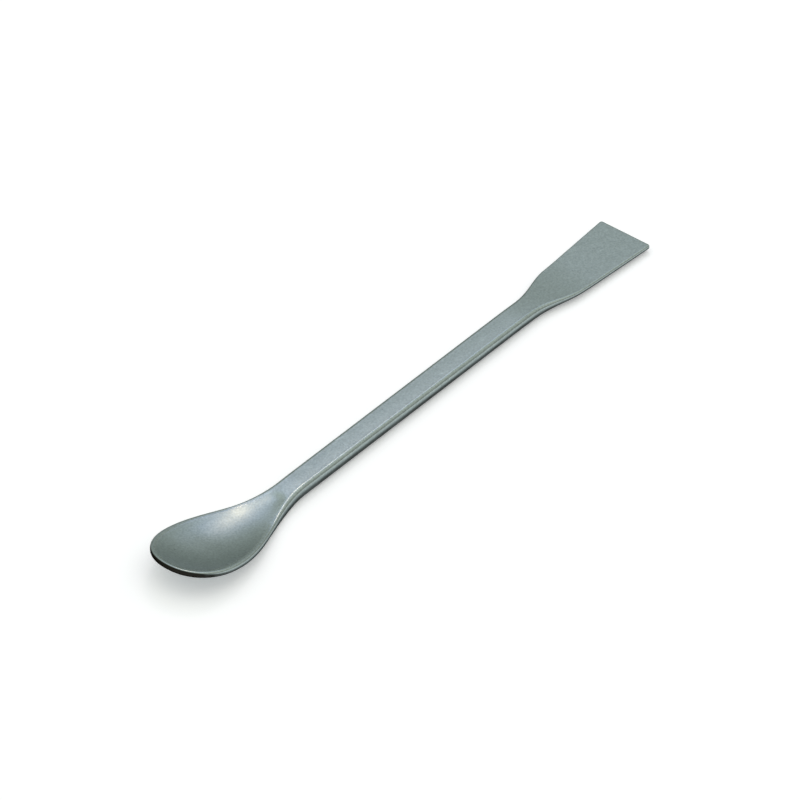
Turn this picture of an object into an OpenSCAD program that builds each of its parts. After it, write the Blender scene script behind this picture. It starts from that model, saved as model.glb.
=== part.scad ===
// Laboratory spatula with a spoon bowl at one end and a flat blade at the other,
// forged and pressed as one piece from a flat bar.
// X runs from the bowl to the blade and Z is up. The origin lies below the middle
// of the length, on the level of the lowest point.

/* [Overall] */
// Length from the tip of the bowl to the end of the blade
overall_length = 180; // [150:1:240]

/* [Handle] */
// Width of the bar where it leaves the bowl
bar_width_at_bowl = 6.7; // [5:0.1:8.5]
// Width of the bar where it meets the blade
bar_width_at_blade = 6.9; // [5:0.1:8.5]
// Thickness of the bar where it leaves the bowl
bar_thickness_at_bowl = 3.45; // [2.8:0.05:4.5]
// Thickness of the bar where it meets the blade
bar_thickness_at_blade = 3; // [2.6:0.05:4]
// Radius along the four long edges of the bar
bar_edge_radius = 1.05; // [0.4:0.05:1.2]
// Rise of the bar's top face along its middle
bar_crown = 0.04; // [0:0.01:0.2]

/* [Bowl] */
// Width of the bowl at its widest
bowl_width = 22.8; // [16:0.1:28]
// Distance from the tip back to the widest place
bowl_front = 13.7; // [10:0.1:16]
// Distance from the tip to where the sides have drawn in to the bar
bowl_run = 48; // [42:0.5:56]
// Exponent of the rounded front, where 2 is an ellipse and more is blunter
front_bluntness = 2.2; // [2:0.05:2.6]
// Depth of the dish below its brim
dish_depth = 1.6; // [1:0.1:4]
// Distance from the tip to where the dish begins to run out
dish_lead = 17; // [14:0.5:24]
// Distance from the tip to where only the throat's groove is left of the dish
dish_run = 37.5; // [32:0.5:39]
// Thickness of the wall at the bottom of the dish
floor_thickness = 1.3; // [0.8:0.05:1.4]
// Thickness of the metal at the rim
rim_thickness = 1.8; // [1.4:0.05:2.4]
// Depth over which the belly of the underside comes out of the level beside it
belly_softness = 0.4; // [0.1:0.1:0.6]
// Radius along the rim's edges
rim_radius = 0.6; // [0.3:0.05:0.6]
// Width of the level brim between a rounded edge and the dish
brim_width = 0.6; // [0.3:0.05:1]

/* [Rim line and throat] */
// Height of the tip above the top face of the bar
tip_rise = 4.8; // [2:0.1:7]
// Depth of the throat below the top face of the bar
throat_dip = 1.2; // [0.4:0.05:1.5]
// Distance from the tip to the lowest place of the rim, at the throat
throat_place = 33; // [30:0.5:36]
// Exponent of the rise from the throat to the tip, where 1 is straight
rim_sweep = 1.3; // [1.1:0.05:2]
// Rounding of the rim line at the throat, as a share of the way to the tip
throat_softness = 0.13; // [0.02:0.01:0.3]
// Depth of the groove that runs on from the dish through the throat
groove_depth = 0.25; // [0:0.05:0.6]
// Distance from the tip to the groove's end on the bar
groove_end = 44; // [42:0.5:48]
// Length over which the groove runs out
groove_fade = 3; // [1:0.5:4]
// Length past the bowl over which the top face comes back up to the bar
throat_run_out = 2; // [0.5:0.5:6]
// Distance before the throat's lowest place at which the metal begins to thicken
thickening_lead = 3; // [0:0.5:6]
// Distance before the bar at which the metal has the bar's thickness
full_thickness_lead = 4; // [2:0.5:5]

/* [Blade] */
// Length of the straight-sided blade, from its shoulders to its end
blade_length = 25.8; // [20:0.1:40]
// Length of the neck, over which the bar widens to the shoulders
neck_length = 15.8; // [10:0.1:20]
// Width across the shoulders
shoulder_width = 12.8; // [9:0.1:16]
// Width of the blade at its end
blade_end_width = 16.1; // [12:0.1:22]
// Thickness of the blade at the shoulders
shoulder_thickness = 1.3; // [1.1:0.05:2]
// Thickness of the blade at its end
blade_end_thickness = 1.2; // [1:0.05:1.8]
// Height of the blade's underside above the bar's underside
blade_lift = 0.5; // [0:0.05:1]
// Radius along the blade's edges
blade_edge_radius = 0.45; // [0.2:0.05:0.5]
// Radius of the blade's two corners, seen from above
corner_radius = 0.7; // [0.6:0.05:3]
// Distance before and after the neck over which the top face slopes down
face_run_out = 6; // [2:0.5:8]
// Distance before the neck at which the bar begins to thin
thinning_lead = 2; // [0:0.5:5]

/* [Facets] */
// Steps round each half of the bowl's front
front_steps = 22; // [12:1:30]
// Steps along each side from the widest place to the bar
taper_steps = 24; // [16:1:32]
// Steps along each side of the neck
neck_steps = 20; // [12:1:28]
// Steps round each corner of the blade
corner_steps = 5; // [3:1:8]
// Steps across the dish from its middle to its brim
dish_steps = 7; // [4:1:9]
// Steps round each long edge
edge_steps = 4; // [2:1:6]

/* [Hidden] */
steel = [0.63, 0.67, 0.68];
quarter_turn = 90;
half_turn = 180;
plain_steps = 3;
innermost_share = 0.12;
thinnest_side = 0.1;

throat_end = bowl_run + throat_run_out;
thickening_start = throat_place - thickening_lead;
thickening_end = bowl_run - full_thickness_lead;
neck_end = overall_length - blade_length;
neck_start = neck_end - neck_length;
mid_bar = (throat_end + neck_start) / 2;
face_start = neck_start - face_run_out;
face_end = neck_end + face_run_out;
blade_root = overall_length - blade_end_width / 2;
corner_start = overall_length - corner_radius;

// Runs smoothly from 0 to 1, level at both ends
function ease(t) = (1 - cos(half_turn * min(max(t, 0), 1))) / 2;

// Runs smoothly from one value to another between two places along the length
function ramp(from, to, start, end, d) = from + (to - from) * ease((d - start) / (end - start));

// Runs straight from one value to another between two places along the length
function slope(from, to, start, end, d) =
    from + (to - from) * min(max((d - start) / (end - start), 0), 1);

// Zero below zero and t above it, with the bend between them rounded off
function rounded_positive(t, softness) =
    max(t, 0) + pow(max(1 - abs(t) / softness, 0), 3) * softness / 6;

// The bar's and the blade's own sizes at a distance d from the tip
function bar_width(d) = slope(bar_width_at_bowl, bar_width_at_blade, bowl_run, neck_start, d);
function bar_thickness(d) =
    slope(bar_thickness_at_bowl, bar_thickness_at_blade, bowl_run, neck_start, d);
function blade_width(d) =
    shoulder_width + (blade_end_width - shoulder_width) * (d - neck_end) / blade_length;
function blade_thickness(d) =
    slope(shoulder_thickness, blade_end_thickness, neck_end, overall_length, d);

// Half of the width in plan, from the widest place of the bowl to the blade's end
function half_width(d) =
    d < mid_bar
    ? ramp(bowl_width, bar_width(d), bowl_front, bowl_run, d) / 2
    : ramp(bar_width(d), blade_width(d), neck_start, neck_end, d) / 2;

// Height of the rim and of the top face above the underside of the bar
throat_height = bar_thickness_at_bowl - throat_dip;
function rim_rise(d) =
    (tip_rise + throat_dip)
    * pow(rounded_positive(1 - max(d, 0) / throat_place, throat_softness), rim_sweep);
function top_height(d) =
    d < mid_bar
    ? ramp(throat_height, bar_thickness(d), throat_place, throat_end, d) + rim_rise(d)
    : ramp(bar_thickness(d), blade_lift + blade_thickness(d), face_start, face_end, d);

// Thickness of the metal along the edge
function edge_thickness(d) =
    d < mid_bar
    ? ramp(rim_thickness, bar_thickness(d), thickening_start, thickening_end, d)
    : ramp(bar_thickness(d), blade_thickness(d), neck_start - thinning_lead, neck_end, d);

// Radius of the rounded edges, always leaving a strip of plain side
function edge_radius(d) =
    min((edge_thickness(d) - thinnest_side) / 2,
        d < mid_bar
        ? ramp(rim_radius, bar_edge_radius, thickening_start, thickening_end, d)
        : ramp(bar_edge_radius, blade_edge_radius, neck_start - thinning_lead, neck_end, d));

// Depth of the hollow along the middle of the width: the dish, the throat's groove
// and, below zero, the crown of the bar
function hollow(d) = ramp(dish_depth, groove_depth, dish_lead, dish_run, d);
function crown(d) = ramp(bar_crown, 0, face_start, face_end, d);
function dish(d) = ramp(hollow(d), -crown(d), groove_end - groove_fade, groove_end, d);

// Depth of the belly that the bowl's wall makes along the middle of the underside
function belly(d) = rounded_positive(dish(d) + floor_thickness - rim_thickness, belly_softness);

// Half of the outline in plan as [distance from the tip, distance from the axis]
function round_front(a) =
    [bowl_front * (1 - pow(cos(a), 2 / front_bluntness)),
     bowl_width / 2 * pow(sin(a), 2 / front_bluntness)];
function side_points(start, end, steps) =
    [for (i = [0 : steps - 1])
        let (d = start + (end - start) * i / steps)
        [d, half_width(d)]];
corner_side = half_width(corner_start) - corner_radius;
half_outline = concat(
    [for (i = [0 : front_steps - 1]) round_front(quarter_turn * i / front_steps)],
    side_points(bowl_front, throat_end, taper_steps),
    side_points(throat_end, face_start, plain_steps),
    side_points(face_start, face_end, neck_steps),
    side_points(face_end, corner_start, plain_steps),
    [for (i = [0 : corner_steps])
        let (a = quarter_turn * i / corner_steps)
        [corner_start + corner_radius * sin(a), corner_side + corner_radius * cos(a)]]
);
last = len(half_outline) - 1;
around = 2 * last + 1;

// The whole outline runs out along one side and back along the other
function outline(i) =
    let (k = (i + around) % around)
    k <= last ? half_outline[k] : [half_outline[around - k][0], -half_outline[around - k][1]];
function outward(i) =
    let (t = outline(i + 1) - outline(i - 1))
    [-t[1], t[0]] / norm(t);

// Each rib runs from the middle of the width out to the outline
function root(p) = [min(max(p[0], bowl_front), blade_root), 0];
function edge_plan(i, a) = outline(i) - outward(i) * edge_radius(outline(i)[0]) * (1 - sin(a));
function edge_drop(i, a) = edge_radius(outline(i)[0]) * (1 - cos(a));
function brim(i) =
    let (q = edge_plan(i, 0), inward = root(outline(i)) - q)
    q + inward / norm(inward) * brim_width;

// Angle at which the belly leaves the rounded lower edge, in line with it
function belly_angle(i) =
    let (r = root(outline(i)))
    atan(2 * belly(r[0]) / norm(edge_plan(i, 0) - r));

// Loops of points round the piece, from the middle of the top over the edge to
// the middle of the underside
function dished(share) = 1 - share * share;
function top_loop(share) =
    [for (i = [0 : around - 1])
        let (r = root(outline(i)), p = r + (brim(i) - r) * share)
        [p[0], p[1], top_height(p[0]) - dish(r[0]) * dished(share)]];
function upper_edge_loop(share) =
    [for (i = [0 : around - 1])
        let (a = quarter_turn * share, p = edge_plan(i, a))
        [p[0], p[1], top_height(p[0]) - edge_drop(i, a)]];
function lower_edge_loop(share) =
    [for (i = [0 : around - 1])
        let (b = belly_angle(i), a = b + (quarter_turn - b) * share, p = edge_plan(i, a))
        [p[0], p[1], top_height(p[0]) - edge_thickness(p[0]) + edge_drop(i, a)]];
function under_loop(share) =
    [for (i = [0 : around - 1])
        let (r = root(outline(i)), b = belly_angle(i), p = r + (edge_plan(i, b) - r) * share,
             rise = edge_drop(i, b), sag = belly(r[0]) + rise)
        [p[0], p[1], top_height(p[0]) - edge_thickness(p[0]) + rise - sag * dished(share)]];

shares = [for (i = [0 : dish_steps - 1])
    innermost_share + (1 - innermost_share) * i / (dish_steps - 1)];
edge_shares = [for (i = [0 : edge_steps]) i / edge_steps];
loops = concat(
    [for (share = shares) top_loop(share)],
    [for (share = edge_shares) upper_edge_loop(share)],
    [for (i = [edge_steps : -1 : 0]) lower_edge_loop(edge_shares[i])],
    [for (i = [dish_steps - 2 : -1 : 0]) under_loop(shares[i])]
);
surface_points = [for (loop = loops, p = loop) p];
lowest = min([for (p = surface_points) p[2]]);

// Faces between neighbouring loops, and a strip that closes each middle
function corner(loop, i) = loop * around + (i + around) % around;
skin = [for (loop = [0 : len(loops) - 2], i = [0 : around - 1])
    [corner(loop, i), corner(loop + 1, i), corner(loop + 1, i + 1), corner(loop, i + 1)]];
function strip(loop, i) =
    i == 0
    ? [corner(loop, 0), corner(loop, 1), corner(loop, -1)]
    : [corner(loop, i), corner(loop, i + 1), corner(loop, -i - 1), corner(loop, -i)];
function turned_over(face) = [for (i = [len(face) - 1 : -1 : 0]) face[i]];
top_middle = [for (i = [0 : last - 1]) strip(0, i)];
under_middle = [for (i = [0 : last - 1]) turned_over(strip(len(loops) - 1, i))];

module spatula()
{
    color(steel)
    translate([-overall_length / 2, 0, -lowest])
    polyhedron(surface_points, concat(skin, top_middle, under_middle), 6);
}

spatula();
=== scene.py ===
from math import cos, pi, radians, sin

import bpy
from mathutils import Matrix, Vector

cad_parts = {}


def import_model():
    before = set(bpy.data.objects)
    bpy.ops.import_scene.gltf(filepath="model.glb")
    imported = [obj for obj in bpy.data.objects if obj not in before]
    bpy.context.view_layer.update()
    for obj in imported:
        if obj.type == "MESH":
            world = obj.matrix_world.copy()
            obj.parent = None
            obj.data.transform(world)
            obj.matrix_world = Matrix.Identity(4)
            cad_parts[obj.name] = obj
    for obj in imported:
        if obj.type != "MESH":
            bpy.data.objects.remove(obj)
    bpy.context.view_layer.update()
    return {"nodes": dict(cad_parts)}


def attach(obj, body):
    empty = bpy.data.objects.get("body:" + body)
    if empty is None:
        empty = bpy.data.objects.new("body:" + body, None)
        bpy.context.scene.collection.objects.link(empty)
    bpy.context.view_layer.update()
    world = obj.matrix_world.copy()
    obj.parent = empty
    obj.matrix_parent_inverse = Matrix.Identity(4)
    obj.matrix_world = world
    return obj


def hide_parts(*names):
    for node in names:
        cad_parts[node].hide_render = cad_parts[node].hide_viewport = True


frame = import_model()
print("frame loaded:", sorted(frame["nodes"]))


class Amount:
    # a number that a node tree works out, so that a rule can be written as plain sums
    def __init__(self, socket):
        self.socket = socket

    def __add__(self, other):
        return combine("ADD", self, other)

    def __radd__(self, other):
        return combine("ADD", other, self)

    def __sub__(self, other):
        return combine("SUBTRACT", self, other)

    def __rsub__(self, other):
        return combine("SUBTRACT", other, self)

    def __mul__(self, other):
        return combine("MULTIPLY", self, other)

    def __rmul__(self, other):
        return combine("MULTIPLY", other, self)

    def __truediv__(self, other):
        return combine("DIVIDE", self, other)

    def __rtruediv__(self, other):
        return combine("DIVIDE", other, self)

    def __pow__(self, other):
        return combine("POWER", self, other)


def combine(operation, *values):
    tree = next(v.socket.id_data for v in values if isinstance(v, Amount))
    node = tree.nodes.new("ShaderNodeMath")
    node.operation = operation
    for place, value in zip(node.inputs, values):
        if isinstance(value, Amount):
            tree.links.new(value.socket, place)
        else:
            place.default_value = value
    return Amount(node.outputs[0])


def least(a, b):
    return combine("MINIMUM", a, b)


def most(a, b):
    return combine("MAXIMUM", a, b)


def clamped(t):
    return least(most(t, 0.0), 1.0)


def progress(d, start, end):
    # 0 before start, 1 after end, straight between them
    return clamped((d - start) / (end - start))


def ease(t):
    return (1.0 - combine("COSINE", t * pi)) * 0.5


def ramp(first, second, start, end, d):
    return first + (second - first) * ease(progress(d, start, end))


def slope(first, second, start, end, d):
    return first + (second - first) * progress(d, start, end)


def hump(t):
    # 1 halfway between 0 and 1, falling to 0 at both
    return (1.0 - t) * t * 4.0


def roundedPositive(t, softness):
    # 0 below zero and t above it, with the bend between them rounded off by a cubic
    near = most(1.0 - combine("ABSOLUTE", t) / softness, 0.0)
    return most(t, 0.0) + near * near * near * softness / 6.0


def before(d, limit, near, far):
    # near where d is less than limit, and far beyond it
    isNear = combine("LESS_THAN", d, limit)
    tree = isNear.socket.id_data
    node = tree.nodes.new("GeometryNodeSwitch")
    node.input_type = "FLOAT"
    tree.links.new(isNear.socket, node.inputs["Switch"])
    for place, value in (("True", near), ("False", far)):
        if isinstance(value, Amount):
            tree.links.new(value.socket, node.inputs[place])
        else:
            node.inputs[place].default_value = value
    return Amount(node.outputs[0])


spatulaSizes = {  # millimetres, apart from what is said to be an exponent or a share
    "overallLength": 180.0,
    "barWidthAtBowl": 6.7,
    "barWidthAtBlade": 6.9,
    "barThicknessAtBowl": 3.45,
    "barThicknessAtBlade": 3.0,
    "barEdgeRadius": 1.05,
    "barCrown": 0.015,
    "bowlWidth": 22.8,
    "bowlFront": 13.7,  # from the tip back to the widest place
    "bowlRun": 48.0,  # from the tip to where the sides have drawn in
    "frontBluntness": 2.2,  # exponent of the superellipse
    "dishDepth": 1.6,
    "dishLead": 17.0,  # from the tip back to where the dish starts to run out
    "dishRun": 37.5,
    "floorThickness": 1.3,
    "rimThickness": 1.8,
    "bellySoftness": 0.4,
    "rimRadius": 0.6,
    "brimWidth": 0.6,
    "brimSoftness": 0.3,  # rounding of the brim's inner edge
    "clearBrimDish": 0.3,  # dish from which the brim has a clear inner edge
    "tipRise": 4.8,
    "throatDip": 1.2,
    "throatPlace": 33.0,
    "rimSweep": 1.3,  # exponent
    "throatSoftness": 0.13,  # share of the way from throat to tip
    "grooveDepth": 0.25,
    "grooveEnd": 44.0,
    "grooveFade": 3.0,
    "throatRunOut": 2.0,
    "thickeningLead": 3.0,
    "fullThicknessLead": 4.0,
    "bladeLength": 25.8,
    "neckLength": 15.8,
    "shoulderWidth": 12.8,
    "bladeEndWidth": 16.1,
    "shoulderThickness": 1.3,
    "bladeEndThickness": 1.2,
    "bladeLift": 0.5,
    "bladeEdgeRadius": 0.45,
    "leastSide": 0.1,  # what the rounded edges leave of the side, at the least
    "cornerRadius": 0.7,
    "faceRunOut": 6.0,
    "thinningLead": 2.0,
    # painted shade: a dark band along the tip's side and the lower side, standing in for the shaded
    # surroundings that they would mirror
    "paintedShadeReach": 3.0,  # from the lower edge in to where the painted shade ends and the underside has the plain steel again
    "paintedShadeTipStart": 0.1,  # share of the way down the edge where the painted shade band starts, at the tip
    "paintedShadeTipSpan": 0.2,  # share over which the band comes in
    "dullTipLength": 12.0,  # from the tip back to where the band has moved to the lower side
    "paintedShadeSideStart": 0.5,  # the same two shares along the rest of the edge
    "paintedShadeSideSpan": 0.35,
    "paintedShadeSideShare": 0.67,  # how dark the painted shade is there, where the tip is 1
}
spatulaSteps = {  # faces along each part of the outline, then round each part of the section
    "front": 60,
    "bowlSide": 90,
    "bar": 16,
    "neck": 64,
    "bladeSide": 12,
    "corner": 8,
    "end": 8,
    "dish": 22,
    "rim": 12,
    "edge": 8,
    "side": 4,
    "under": 26,
}
meshRules = {
    "fineStretch": 2.2,  # brim widths next to the edge that get the finer faces
    "coarseShare": 0.3,  # least share of a rib that keeps the coarser ones
    "lookAside": 0.02,  # steps to each side between which the outline's direction is taken
    "sliver": 0.0001,  # stands for just above 0
    "justPast": 0.001,  # steps past a whole loop, so that the loop itself still counts as before it
    "weldDistance": 0.0005,  # millimetres
    "metresEach": 0.001,  # metres in a millimetre
}


def spatulaTree():
    tree = bpy.data.node_groups.new("spatulaShape", "GeometryNodeTree")
    sockets = {}
    for name, value in spatulaSizes.items():
        socket = tree.interface.new_socket(name, in_out="INPUT", socket_type="NodeSocketFloat")
        socket.default_value = value
        sockets[name] = socket.identifier
    socket = tree.interface.new_socket("metal", in_out="INPUT", socket_type="NodeSocketMaterial")
    sockets["metal"] = socket.identifier
    tree.interface.new_socket("Geometry", in_out="OUTPUT", socket_type="NodeSocketGeometry")
    entry = tree.nodes.new("NodeGroupInput")
    size = {name: Amount(entry.outputs[name]) for name in spatulaSizes}

    # places along the length, measured from the tip of the bowl
    throatEnd = size["bowlRun"] + size["throatRunOut"]
    thickStart = size["throatPlace"] - size["thickeningLead"]
    thickEnd = size["bowlRun"] - size["fullThicknessLead"]
    neckEnd = size["overallLength"] - size["bladeLength"]
    neckStart = neckEnd - size["neckLength"]
    thinStart = neckStart - size["thinningLead"]
    midBar = (throatEnd + neckStart) * 0.5
    faceStart = neckStart - size["faceRunOut"]
    faceEnd = neckEnd + size["faceRunOut"]
    bladeRoot = size["overallLength"] - size["bladeEndWidth"] * 0.5
    cornerStart = size["overallLength"] - size["cornerRadius"]
    throatHeight = size["barThicknessAtBowl"] - size["throatDip"]

    def barWidth(d):
        return slope(size["barWidthAtBowl"], size["barWidthAtBlade"], size["bowlRun"], neckStart, d)

    def barThickness(d):
        return slope(size["barThicknessAtBowl"], size["barThicknessAtBlade"],
                     size["bowlRun"], neckStart, d)

    def bladeWidth(d):
        widening = size["bladeEndWidth"] - size["shoulderWidth"]
        return size["shoulderWidth"] + widening * (d - neckEnd) / size["bladeLength"]

    def bladeThickness(d):
        return slope(size["shoulderThickness"], size["bladeEndThickness"],
                     neckEnd, size["overallLength"], d)

    def halfWidth(d):
        bowlSide = ramp(size["bowlWidth"], barWidth(d), size["bowlFront"], size["bowlRun"], d)
        bladeSide = ramp(barWidth(d), bladeWidth(d), neckStart, neckEnd, d)
        return before(d, midBar, bowlSide, bladeSide) * 0.5

    def topHeight(d):
        ahead = roundedPositive(1.0 - most(d, 0.0) / size["throatPlace"], size["throatSoftness"])
        rise = (size["tipRise"] + size["throatDip"]) * (ahead ** size["rimSweep"])
        throat = ramp(throatHeight, barThickness(d), size["throatPlace"], throatEnd, d)
        face = ramp(barThickness(d), size["bladeLift"] + bladeThickness(d), faceStart, faceEnd, d)
        return before(d, midBar, throat + rise, face)

    def dish(d):
        hollow = ramp(size["dishDepth"], size["grooveDepth"], size["dishLead"], size["dishRun"], d)
        crown = ramp(size["barCrown"], 0.0, faceStart, faceEnd, d)
        fadeStart = size["grooveEnd"] - size["grooveFade"]
        return ramp(hollow, 0.0 - crown, fadeStart, size["grooveEnd"], d)

    def edgeThickness(d):
        bowlPart = ramp(size["rimThickness"], barThickness(d), thickStart, thickEnd, d)
        bladePart = ramp(barThickness(d), bladeThickness(d), thinStart, neckEnd, d)
        return before(d, midBar, bowlPart, bladePart)

    def edgeRadius(d):
        bowlPart = ramp(size["rimRadius"], size["barEdgeRadius"], thickStart, thickEnd, d)
        bladePart = ramp(size["barEdgeRadius"], size["bladeEdgeRadius"], thinStart, neckEnd, d)
        mostRound = (edgeThickness(d) - size["leastSide"]) * 0.5
        return least(mostRound, before(d, midBar, bowlPart, bladePart))

    # a flat grid, whose two directions become the outline and the section
    steps = spatulaSteps
    alongParts = ("front", "bowlSide", "bar", "neck", "bladeSide", "corner", "end")
    acrossParts = ("dish", "rim", "edge", "side", "lowerEdge", "under")
    acrossSteps = dict(steps, lowerEdge=steps["edge"])
    along = sum(steps[part] for part in alongParts)
    across = sum(acrossSteps[part] for part in acrossParts)
    grid = tree.nodes.new("GeometryNodeMeshGrid")
    grid.inputs["Size X"].default_value = along
    grid.inputs["Size Y"].default_value = across
    grid.inputs["Vertices X"].default_value = along + 1
    grid.inputs["Vertices Y"].default_value = across + 1
    position = tree.nodes.new("GeometryNodeInputPosition")
    place = tree.nodes.new("ShaderNodeSeparateXYZ")
    tree.links.new(position.outputs[0], place.inputs[0])
    station = Amount(place.outputs["X"]) + along * 0.5
    loop = Amount(place.outputs["Y"]) + across * 0.5

    def shareOf(value, part, parts, counts):
        # how far through one part of the outline or of the section a point is, from 0 to 1
        first = sum(counts[p] for p in parts[:parts.index(part)])
        return clamped((value - float(first)) / float(counts[part]))

    def outline(at):
        share = {part: shareOf(at, part, alongParts, steps) for part in alongParts}
        turn = share["front"] * (pi / 2)
        power = 2.0 / size["frontBluntness"]
        frontX = size["bowlFront"] * (1.0 - most(combine("COSINE", turn), 0.0) ** power)
        frontY = size["bowlWidth"] * 0.5 * (combine("SINE", turn) ** power)
        d = (size["bowlFront"] + (throatEnd - size["bowlFront"]) * share["bowlSide"]
             + (faceStart - throatEnd) * share["bar"] + (faceEnd - faceStart) * share["neck"]
             + (cornerStart - faceEnd) * share["bladeSide"])
        corner = share["corner"] * (pi / 2)
        cornerDrop = size["cornerRadius"] * (1.0 - combine("COSINE", corner))
        sideX = d + size["cornerRadius"] * combine("SINE", corner)
        sideY = (halfWidth(d) - cornerDrop) * (1.0 - share["end"])
        inFront = float(steps["front"])
        return before(at, inFront, frontX, sideX), before(at, inFront, frontY, sideY)

    outX, outY = outline(station)
    laterX, laterY = outline(station + meshRules["lookAside"])
    soonerX, soonerY = outline(station - meshRules["lookAside"])
    runX = laterX - soonerX
    runY = laterY - soonerY
    run = combine("SQRT", runX * runX + runY * runY)
    outwardX = 0.0 - runY / run
    outwardY = runX / run

    radius = edgeRadius(outX)
    flatX = outX - outwardX * radius
    flatY = outY - outwardY * radius
    rootX = least(most(outX, size["bowlFront"]), bladeRoot)
    ribX = flatX - rootX
    ribLength = combine("SQRT", ribX * ribX + flatY * flatY)
    rootDish = dish(rootX)
    wall = size["floorThickness"] - size["rimThickness"]
    belly = roundedPositive(rootDish + wall, size["bellySoftness"])

    share = {part: shareOf(loop, part, acrossParts, acrossSteps) for part in acrossParts}

    # top: out along the rib to the start of the rounded edge, with the last stretch finer
    rimStretch = size["brimWidth"] * meshRules["fineStretch"]
    rimStart = most(1.0 - rimStretch / ribLength, meshRules["coarseShare"])
    reach = rimStart * share["dish"] + (1.0 - rimStart) * share["rim"]
    topX = rootX + ribX * reach
    topY = flatY * reach
    past = reach * ribLength / (ribLength - size["brimWidth"])
    brimShare = progress(rootDish, 0.0, size["clearBrimDish"])
    hollow = combine("SMOOTH_MAX", most(rootDish, 0.0) * (1.0 - past * past), 0.0,
                     size["brimSoftness"] * brimShare + meshRules["sliver"])
    crowned = least(rootDish, 0.0) * most(1.0 - past * past, 0.0)
    topZ = topHeight(topX) - hollow - crowned

    # edge: down round the upper edge, the side, and round under to where the belly begins
    steepness = belly * 2.0 / ribLength
    bellyTurn = combine("ARCTANGENT", steepness)
    upperTurn = share["edge"] * (pi / 2)
    lowerTurn = bellyTurn + (pi / 2 - bellyTurn) * (1.0 - share["lowerEdge"])
    upperIn = radius * (1.0 - combine("SINE", upperTurn))
    lowerIn = radius * (1.0 - combine("SINE", lowerTurn))
    sideIn = before(share["lowerEdge"], meshRules["sliver"], upperIn, lowerIn)
    edgeX = outX - outwardX * sideIn
    edgeY = outY - outwardY * sideIn
    upperDrop = radius * (1.0 - combine("COSINE", upperTurn))
    lowerRise = radius * (1.0 - combine("COSINE", lowerTurn))
    edgeTop = topHeight(edgeX)
    edgeDeep = edgeThickness(edgeX)
    drop = upperDrop + (edgeDeep - lowerRise - upperDrop) * share["side"]
    edgeZ = edgeTop - before(share["lowerEdge"], meshRules["sliver"], drop, edgeDeep - lowerRise)

    # underside: back in along the rib to the middle
    endIn = radius * (1.0 - combine("SINE", bellyTurn))
    endX = outX - outwardX * endIn
    endY = outY - outwardY * endIn
    inward = 1.0 - share["under"]
    underX = rootX + (endX - rootX) * inward
    underY = endY * inward
    endRise = radius * (1.0 - combine("COSINE", bellyTurn))
    underZ = (topHeight(underX) - edgeThickness(underX) + endRise
              - (belly + endRise) * (1.0 - inward * inward))

    topLoops = float(acrossSteps["dish"] + acrossSteps["rim"]) + meshRules["justPast"]
    underLoops = float(across - acrossSteps["under"]) + meshRules["justPast"]
    x = before(loop, topLoops, topX, before(loop, underLoops, edgeX, underX))
    y = before(loop, topLoops, topY, before(loop, underLoops, edgeY, underY))
    z = before(loop, topLoops, topZ, before(loop, underLoops, edgeZ, underZ))
    point = tree.nodes.new("ShaderNodeCombineXYZ")
    tree.links.new((x - size["overallLength"] * 0.5).socket, point.inputs["X"])
    tree.links.new(y.socket, point.inputs["Y"])
    tree.links.new(z.socket, point.inputs["Z"])

    # for the material: where handling polishes the edges, and where painted shade darkens the lower
    # side in place of the shaded surroundings it would mirror
    fromBrim = combine("ABSOLUTE", past - 1.0) * ribLength / size["brimSoftness"]
    onBrim = most(1.0 - fromBrim, 0.0) * brimShare * clamped(1.0 - share["edge"])
    edgeShare = hump(share["edge"]) + hump(share["lowerEdge"]) + onBrim
    fromEdge = share["under"] * ribLength / size["paintedShadeReach"]
    wayDown = (share["edge"] + share["side"]) * 0.5
    # painted shade: strongest at the tip's side, then moving down to the lower side further back
    paintedShadeStart = ramp(size["paintedShadeTipStart"], size["paintedShadeSideStart"], 0.0, size["dullTipLength"], outX)
    paintedShadeSpan = ramp(size["paintedShadeTipSpan"], size["paintedShadeSideSpan"], 0.0, size["dullTipLength"], outX)
    paintedShadeLevel = ramp(1.0, size["paintedShadeSideShare"], 0.0, size["dullTipLength"], outX)
    paintedShadeShare = (ease(clamped((wayDown - paintedShadeStart) / paintedShadeSpan)) * paintedShadeLevel
                 * (1.0 - ease(clamped(fromEdge))))
    marked = grid.outputs["Mesh"]
    for name, value in (("edgeShare", edgeShare), ("paintedShadeShare", paintedShadeShare)):
        mark = tree.nodes.new("GeometryNodeStoreNamedAttribute")
        mark.data_type = "FLOAT"
        mark.domain = "POINT"
        mark.inputs["Name"].default_value = name
        tree.links.new(value.socket, mark.inputs["Value"])
        tree.links.new(marked, mark.inputs["Geometry"])
        marked = mark.outputs[0]
    lay = tree.nodes.new("GeometryNodeSetPosition")
    tree.links.new(marked, lay.inputs["Geometry"])
    tree.links.new(point.outputs[0], lay.inputs["Position"])

    # the other half, with its faces turned the right way, and both joined along the middle
    mirror = tree.nodes.new("GeometryNodeTransform")
    mirror.inputs["Scale"].default_value = (1.0, -1.0, 1.0)
    tree.links.new(lay.outputs[0], mirror.inputs["Geometry"])
    turnOver = tree.nodes.new("GeometryNodeFlipFaces")
    tree.links.new(mirror.outputs[0], turnOver.inputs["Mesh"])
    both = tree.nodes.new("GeometryNodeJoinGeometry")
    tree.links.new(lay.outputs[0], both.inputs[0])
    tree.links.new(turnOver.outputs[0], both.inputs[0])
    weld = tree.nodes.new("GeometryNodeMergeByDistance")
    weld.inputs["Distance"].default_value = meshRules["weldDistance"]
    tree.links.new(both.outputs[0], weld.inputs["Geometry"])

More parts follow.
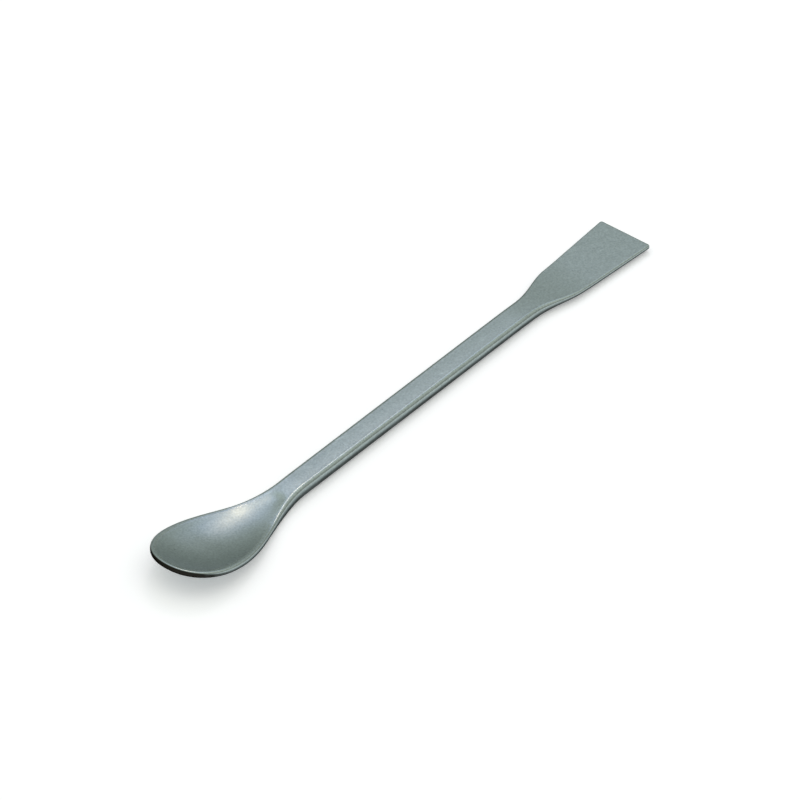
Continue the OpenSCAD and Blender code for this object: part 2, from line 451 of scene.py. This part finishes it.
    # set down on its lowest point, and brought from millimetres to metres
    heights = tree.nodes.new("GeometryNodeAttributeStatistic")
    again = tree.nodes.new("GeometryNodeInputPosition")
    level = tree.nodes.new("ShaderNodeSeparateXYZ")
    tree.links.new(again.outputs[0], level.inputs[0])
    tree.links.new(weld.outputs[0], heights.inputs["Geometry"])
    tree.links.new(level.outputs["Z"], heights.inputs["Attribute"])
    lift = tree.nodes.new("ShaderNodeCombineXYZ")
    tree.links.new((0.0 - Amount(heights.outputs["Min"])).socket, lift.inputs["Z"])
    raised = tree.nodes.new("GeometryNodeSetPosition")
    tree.links.new(weld.outputs[0], raised.inputs["Geometry"])
    tree.links.new(lift.outputs[0], raised.inputs["Offset"])
    toMetres = tree.nodes.new("GeometryNodeTransform")
    toMetres.inputs["Scale"].default_value = [meshRules["metresEach"]] * 3
    tree.links.new(raised.outputs[0], toMetres.inputs["Geometry"])

    smooth = tree.nodes.new("GeometryNodeSetShadeSmooth")
    tree.links.new(toMetres.outputs[0], smooth.inputs["Geometry"])
    realize = tree.nodes.new("GeometryNodeRealizeInstances")
    tree.links.new(smooth.outputs[0], realize.inputs["Geometry"])
    coat = tree.nodes.new("GeometryNodeSetMaterial")
    tree.links.new(realize.outputs[0], coat.inputs["Geometry"])
    tree.links.new(entry.outputs["metal"], coat.inputs["Material"])
    leave = tree.nodes.new("NodeGroupOutput")
    tree.links.new(coat.outputs[0], leave.inputs["Geometry"])
    return tree, sockets


def makeSpatula(metal):
    tree, sockets = spatulaTree()
    maker = bpy.data.objects.new("spatulaMaker", bpy.data.meshes.new("spatulaMaker"))
    bpy.context.scene.collection.objects.link(maker)
    modifier = maker.modifiers.new("spatulaShape", "NODES")
    modifier.node_group = tree
    for name, value in spatulaSizes.items():
        modifier[sockets[name]] = value
    modifier[sockets["metal"]] = metal
    shaped = maker.evaluated_get(bpy.context.evaluated_depsgraph_get())
    mesh = bpy.data.meshes.new_from_object(shaped)
    mesh.name = "steelSpatula"
    bpy.data.objects.remove(maker)
    piece = bpy.data.objects.new("steelSpatula", mesh)
    bpy.context.scene.collection.objects.link(piece)
    return piece


steelFinish = {
    "colour": (0.316, 0.377, 0.376),
    "grazingColour": (0.3, 0.3, 0.3),
    "roughness": 0.29,
    "grainSize": 0.0005,  # metres, as are the other sizes
    "grainDepth": 0.00001,
    "grainDetail": 2.0,
    "grainContrast": 0.68,  # share of the colour between the grain's darkest and lightest
    "grainRoughness": 0.02,
    "cloudSize": 0.005,
    "cloudDetail": 3.0,
    "cloudContrast": 0.05,
    "cloudRoughness": 0.04,
    "lineWidth": 0.00025,  # faint lines along the length, left by the rolling
    "lineLength": 0.012,
    "lineDetail": 1.0,
    "lineDepth": 0.000003,
    "lineRoughness": 0.04,
    "scratchSpread": 0.003,  # distance between the scratches that use has left
    "scratchLength": 0.05,
    "scratchWidth": 0.012,  # share of the spread
    "scratchGain": 0.22,
    "scratchSets": ((0.35, 0.0), (-0.5, 0.4), (1.3, 0.7)),  # radians from the length, and a shift
    "patchScale": 90.0,  # patches per metre in which the scratches show
    "patchShift": 40.0,  # how far a set's shift changes that
    "patchDetail": 1.0,
    "patchContrast": 8.0,
    "patchThreshold": 0.5,
    "edgeColour": (0.37, 0.42, 0.41),  # where handling has polished the edges
    "edgeRoughness": 0.12,
    "edgeWear": 0.75,
    "edgeUnevenness": 0.6,
    "paintedShadeColour": (0.021, 0.02, 0.017),  # painted shade: stands for the dark surroundings that the lower side mirrors
    "paintedShadeRoughness": 0.12,
    "paintedShadeGain": 1.12,
    "paintedShadeUnevenness": 0.5,
}


def satinSteel():
    finish = steelFinish
    metal = bpy.data.materials.new("satinSteel")
    metal.use_nodes = True
    tree = metal.node_tree
    shader = tree.nodes["Principled BSDF"]
    shader.inputs["Metallic"].default_value = 1.0
    shader.inputs["Specular Tint"].default_value = finish["grazingColour"] + (1.0,)
    coordinates = tree.nodes.new("ShaderNodeTexCoord").outputs["Object"]

    def stretched(turn, scale):
        # object coordinates turned round Z, then scaled along each axis
        mapping = tree.nodes.new("ShaderNodeMapping")
        mapping.vector_type = "TEXTURE"
        mapping.inputs["Rotation"].default_value = (0.0, 0.0, turn)
        mapping.inputs["Scale"].default_value = scale
        tree.links.new(coordinates, mapping.inputs["Vector"])
        return mapping.outputs["Vector"]

    def noise(vector, scale, detail):
        # around 0, mostly between -0.5 and 0.5
        texture = tree.nodes.new("ShaderNodeTexNoise")
        texture.inputs["Scale"].default_value = scale
        texture.inputs["Detail"].default_value = detail
        tree.links.new(vector, texture.inputs["Vector"])
        return Amount(texture.outputs["Fac"]) - 0.5

    grain = noise(coordinates, 1.0 / finish["grainSize"], finish["grainDetail"])
    clouds = noise(coordinates, 1.0 / finish["cloudSize"], finish["cloudDetail"])
    lineScale = (finish["lineLength"], finish["lineWidth"], finish["lineWidth"])
    lines = noise(stretched(0.0, lineScale), 1.0, finish["lineDetail"])

    def scratches(turn, shift):
        across = finish["scratchSpread"]
        bed = stretched(turn, (finish["scratchLength"], across, across))
        wander = noise(bed, 1.0 + shift, 0.0)
        line = 1.0 - clamped(combine("ABSOLUTE", wander) / finish["scratchWidth"])
        patchScale = finish["patchScale"] + finish["patchShift"] * shift
        patches = noise(coordinates, patchScale, finish["patchDetail"])
        return line * clamped(patches * finish["patchContrast"] - finish["patchThreshold"])

    marks = 0.0
    for turn, shift in finish["scratchSets"]:
        marks = scratches(turn, shift) + marks

    def attribute(name):
        node = tree.nodes.new("ShaderNodeAttribute")
        node.attribute_name = name
        return Amount(node.outputs["Fac"])

    # painted shade: the lower side darkened, and made rougher, to stand for the dark surroundings it
    # would mirror
    dull = clamped(attribute("paintedShadeShare") * (finish["paintedShadeGain"] + clouds * finish["paintedShadeUnevenness"]))
    wear = finish["edgeWear"] + clouds * finish["edgeUnevenness"]
    worn = clamped(attribute("edgeShare") * wear - dull)

    steel = tree.nodes.new("ShaderNodeRGB").outputs[0]
    steel.default_value = finish["colour"] + (1.0,)
    for share, name in ((worn, "edgeColour"), (dull, "paintedShadeColour")):
        mix = tree.nodes.new("ShaderNodeMix")
        mix.data_type = "RGBA"
        mix.inputs["B"].default_value = finish[name] + (1.0,)
        tree.links.new(steel, mix.inputs["A"])
        tree.links.new(share.socket, mix.inputs["Factor"])
        steel = mix.outputs["Result"]
    shade = (1.0 + grain * finish["grainContrast"] + clouds * finish["cloudContrast"]
             + marks * finish["scratchGain"])
    toned = tree.nodes.new("ShaderNodeVectorMath")
    toned.operation = "SCALE"
    tree.links.new(steel, toned.inputs[0])
    tree.links.new(shade.socket, toned.inputs["Scale"])
    tree.links.new(toned.outputs[0], shader.inputs["Base Color"])

    rough = (finish["roughness"] + grain * finish["grainRoughness"]
             + clouds * finish["cloudRoughness"] + lines * finish["lineRoughness"]
             + dull * finish["paintedShadeRoughness"])
    rough = rough + (finish["edgeRoughness"] - rough) * worn
    tree.links.new(rough.socket, shader.inputs["Roughness"])

    height = grain * finish["grainDepth"] + lines * finish["lineDepth"]
    bump = tree.nodes.new("ShaderNodeBump")
    bump.inputs["Distance"].default_value = 1.0
    tree.links.new(height.socket, bump.inputs["Height"])
    tree.links.new(bump.outputs["Normal"], shader.inputs["Normal"])
    return metal


metal = satinSteel()
spatula = makeSpatula(metal)
print("spatula made:", len(spatula.data.polygons), "faces")
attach(spatula, "root")
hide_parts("spatula")


floorLook = {"size": 4.0, "colour": (0.93, 0.93, 0.98), "glow": 0.25}


def makeFloor():
    mesh = bpy.data.meshes.new("floor")
    half = floorLook["size"] / 2
    corners = [(-half, -half, 0.0), (half, -half, 0.0), (half, half, 0.0), (-half, half, 0.0)]
    mesh.from_pydata(corners, [], [(0, 1, 2, 3)])
    floor = bpy.data.objects.new("floor", mesh)
    bpy.context.scene.collection.objects.link(floor)
    paint = bpy.data.materials.new("palePaint")
    paint.use_nodes = True
    tree = paint.node_tree
    tree.nodes.clear()
    matt = tree.nodes.new("ShaderNodeBsdfDiffuse")
    matt.inputs["Color"].default_value = floorLook["colour"] + (1.0,)
    glow = tree.nodes.new("ShaderNodeEmission")
    rays = tree.nodes.new("ShaderNodeLightPath")
    seen = clamped(Amount(rays.outputs["Is Camera Ray"]) + Amount(rays.outputs["Is Glossy Ray"])
                   + Amount(rays.outputs["Is Transmission Ray"]))
    tree.links.new((seen * floorLook["glow"]).socket, glow.inputs["Strength"])
    both = tree.nodes.new("ShaderNodeAddShader")
    tree.links.new(matt.outputs[0], both.inputs[0])
    tree.links.new(glow.outputs[0], both.inputs[1])
    leave = tree.nodes.new("ShaderNodeOutputMaterial")
    tree.links.new(both.outputs[0], leave.inputs["Surface"])
    mesh.materials.append(paint)
    return floor


lightPlan = {  # metres, degrees and watts
    "pastFloor": (1.0, 1.0, 1.0),  # what the camera sees there
    "horizonColour": (0.95, 1.0, 0.92),
    "horizonStrength": 0.49,
    "zenithColour": (0.98, 1.0, 0.92),
    "zenithStrength": 1.17,
    "lampAzimuth": 35.7,  # degrees from the blade's end towards the far side
    "lampElevation": 54.5,
    "lampDistance": 0.6,
    "keySize": 0.07,  # a small warm lamp in the middle of a wide cool one
    "keyColour": (1.36, 1.0, 0.72),
    "keyPower": 0.13,
    "haloSize": 0.3,
    "haloColour": (0.72, 1.0, 2.3),
    "haloPower": 0.089,
}


def makeLights():
    world = bpy.data.worlds.new("studio")
    world.use_nodes = True
    tree = world.node_tree
    sky = tree.nodes["Background"]
    direction = tree.nodes.new("ShaderNodeTexCoord")
    parts = tree.nodes.new("ShaderNodeSeparateXYZ")
    tree.links.new(direction.outputs["Generated"], parts.inputs[0])
    up = most(Amount(parts.outputs["Z"]), 0.0)
    overhead = up * up  # 0 at the horizon, 1 straight above
    tone = tree.nodes.new("ShaderNodeMix")
    tone.data_type = "RGBA"
    tone.inputs["A"].default_value = lightPlan["horizonColour"] + (1.0,)
    tone.inputs["B"].default_value = lightPlan["zenithColour"] + (1.0,)
    tree.links.new(overhead.socket, tone.inputs["Factor"])
    seen = Amount(tree.nodes.new("ShaderNodeLightPath").outputs["Is Camera Ray"])
    clear = tree.nodes.new("ShaderNodeMix")  # the camera sees plain white past the floor
    clear.data_type = "RGBA"
    clear.inputs["B"].default_value = lightPlan["pastFloor"] + (1.0,)
    tree.links.new(tone.outputs["Result"], clear.inputs["A"])
    tree.links.new(seen.socket, clear.inputs["Factor"])
    tree.links.new(clear.outputs["Result"], sky.inputs["Color"])
    gain = lightPlan["zenithStrength"] - lightPlan["horizonStrength"]
    strength = overhead * gain + lightPlan["horizonStrength"]
    tree.links.new((strength + (1.0 - strength) * seen).socket, sky.inputs["Strength"])
    bpy.context.scene.world = world
    turn, tilt = radians(lightPlan["lampAzimuth"]), radians(lightPlan["lampElevation"])
    towards = Vector((cos(turn) * cos(tilt), sin(turn) * cos(tilt), sin(tilt)))
    for name in ("key", "halo"):
        lamp = bpy.data.lights.new(name + "Lamp", "AREA")
        lamp.shape = "SQUARE"
        lamp.size = lightPlan[name + "Size"]
        lamp.color = lightPlan[name + "Colour"]
        lamp.energy = lightPlan[name + "Power"]
        holder = bpy.data.objects.new(name + "Lamp", lamp)
        holder.location = towards * lightPlan["lampDistance"]
        holder.rotation_mode = "QUATERNION"
        holder.rotation_quaternion = towards.to_track_quat("Z", "Y")
        bpy.context.scene.collection.objects.link(holder)


cameraPlan = {
    "azimuth": -50.535,  # degrees round the object
    "elevation": 39.108,
    "distance": 2.3,  # metres, as is the aim
    "lens": 415.66,  # millimetres, as is the sensor
    "sensor": 36.0,
    "nearClip": 0.1,
    "farClip": 20.0,
    "aim": (-0.00014, 0.00035, 0.00348),
}


def makeCamera():
    data = bpy.data.cameras.new("camera")
    data.lens = cameraPlan["lens"]
    data.sensor_width = cameraPlan["sensor"]
    data.clip_start = cameraPlan["nearClip"]
    data.clip_end = cameraPlan["farClip"]
    camera = bpy.data.objects.new("camera", data)
    turn, tilt = radians(cameraPlan["azimuth"]), radians(cameraPlan["elevation"])
    back = Vector((sin(turn) * cos(tilt), -cos(turn) * cos(tilt), sin(tilt)))
    camera.location = Vector(cameraPlan["aim"]) + back * cameraPlan["distance"]
    camera.rotation_mode = "QUATERNION"
    camera.rotation_quaternion = back.to_track_quat("Z", "Y")
    bpy.context.scene.collection.objects.link(camera)
    bpy.context.scene.camera = camera


makeFloor()
makeLights()
makeCamera()
bpy.context.scene.view_settings.view_transform = "Standard"
print("floor, light and camera set")
